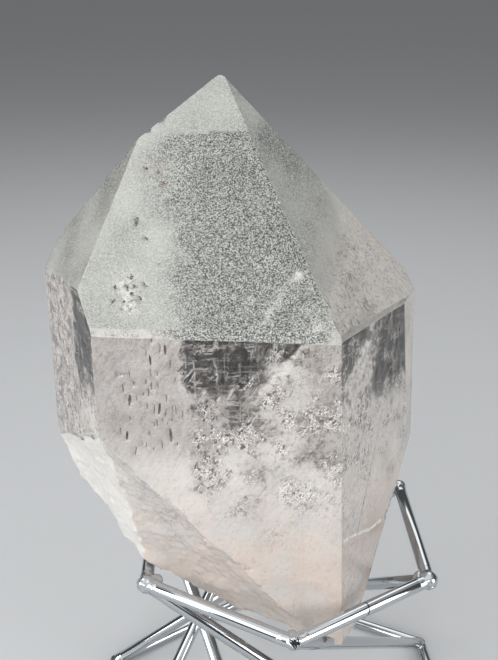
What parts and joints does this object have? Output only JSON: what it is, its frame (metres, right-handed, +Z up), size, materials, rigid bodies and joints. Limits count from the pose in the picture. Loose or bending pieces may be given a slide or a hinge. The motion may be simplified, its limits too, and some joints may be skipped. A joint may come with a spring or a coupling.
{
  "type": "quartz crystal on a rod stand",
  "caption": "Pointed quartz crystal with frosted tip faces and a broken lower end, resting upright in a twisted hexagonal stand of welded metal rods.",
  "frame": {"origin": "centre of the object's box, on the plane of the table", "axes": "+Z up along the stand's axis, -Y towards the viewer of the picture, +X to the viewer's right"},
  "size_m": [0.1014, 0.1086, 0.1696],
  "materials": {
    "quartz": "frosted tip faces, clear and milky below",
    "chrome_rod": "polished"
  },
  "bodies": {
    "root": {"crystal": "quartz", "upper_ring_bar_1": "chrome_rod", "upper_ring_bar_2": "chrome_rod", "upper_ring_bar_3": "chrome_rod", "upper_ring_bar_4": "chrome_rod", "upper_ring_bar_5": "chrome_rod", "upper_ring_bar_6": "chrome_rod", "strut_1": "chrome_rod", "strut_2": "chrome_rod", "strut_3": "chrome_rod", "strut_4": "chrome_rod", "strut_5": "chrome_rod", "strut_6": "chrome_rod", "base_ring_bar_1": "chrome_rod", "base_ring_bar_2": "chrome_rod", "base_ring_bar_3": "chrome_rod", "base_ring_bar_4": "chrome_rod", "base_ring_bar_5": "chrome_rod", "base_ring_bar_6": "chrome_rod"}
  },
  "joints": []
}
